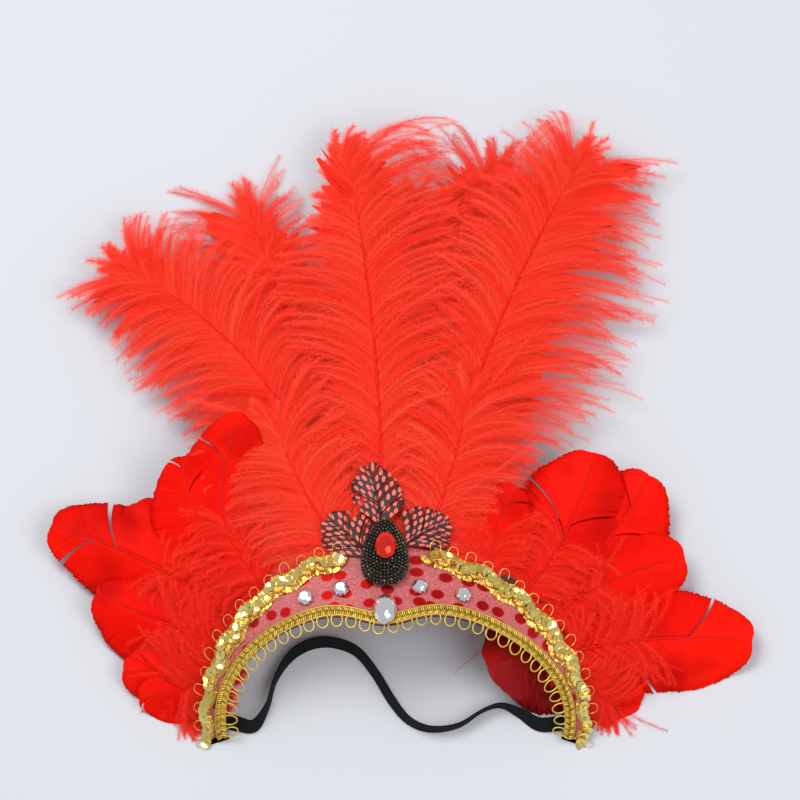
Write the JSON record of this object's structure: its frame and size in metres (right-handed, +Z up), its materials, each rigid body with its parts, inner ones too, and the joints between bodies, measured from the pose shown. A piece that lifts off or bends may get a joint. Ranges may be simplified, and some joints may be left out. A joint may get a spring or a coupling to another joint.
{
  "type": "feather headband",
  "caption": "Crescent headband with gold looped and sequined braid, clear and red stones, a dark beaded drop, red ostrich plumes and goose feathers behind, and a black elastic strap.",
  "frame": {"origin": "on the surface under the middle of the headband's box, without its strap", "axes": "the headband lies on its back: +X to the right as seen from the front, +Y from the band's ends to the plume tips, +Z up, the way the band's face looks"},
  "size_m": [0.3802, 0.347, 0.0641],
  "materials": {
    "black_felt": "matte black felt",
    "glitter_fabric": "rose-red glitter cloth with darker round foil dots",
    "gold_sequin_braid": "gold metallic braid with mirror sequins",
    "gold_gimp": "ribbed gold metallic gimp and thread loops",
    "clear_stone": "silver-backed faceted clear acrylic",
    "red_stone": "faceted red acrylic",
    "dark_beads": "dark bronze glass seed beads",
    "ostrich_plume": "soft red ostrich barbs",
    "goose_feather": "smooth satin red feather vane",
    "down": "loose red down",
    "guinea_feather": "dark brown vane with pink dots",
    "black_elastic": "ribbed black woven elastic"
  },
  "bodies": {
    "root": {"band_backing": "black_felt", "band_face": "glitter_fabric", "sequin_braid_left": "gold_sequin_braid", "sequin_braid_right": "gold_sequin_braid", "loop_braid": "gold_gimp", "stone_left_outer": "clear_stone", "stone_left_inner": "clear_stone", "stone_right_inner": "clear_stone", "stone_right_outer": "clear_stone", "stone_oval": "clear_stone", "medallion": "dark_beads", "stone_red": "red_stone", "plume_front_left": "ostrich_plume", "plume_front_right": "ostrich_plume", "plume_centre": "ostrich_plume", "plume_left": "ostrich_plume", "plume_right": "ostrich_plume", "plume_back_left": "ostrich_plume", "plume_back_centre": "ostrich_plume", "plume_back_right": "ostrich_plume", "goose_left_top": "goose_feather", "goose_left_side": "goose_feather", "goose_left_long": "goose_feather", "goose_left_upper": "goose_feather", "goose_left_mid": "goose_feather", "goose_left_low": "goose_feather", "goose_left_bottom": "goose_feather", "down_left": "down", "goose_right_inner": "goose_feather", "goose_right_top": "goose_feather", "goose_right_side": "goose_feather", "goose_right_upper": "goose_feather", "goose_right_mid": "goose_feather", "goose_right_long": "goose_feather", "goose_right_bottom": "goose_feather", "down_right": "down", "goose_right_under": "goose_feather", "guinea_left": "guinea_feather", "guinea_top": "guinea_feather", "guinea_right": "guinea_feather", "elastic_strap": "black_elastic"}
  },
  "joints": []
}
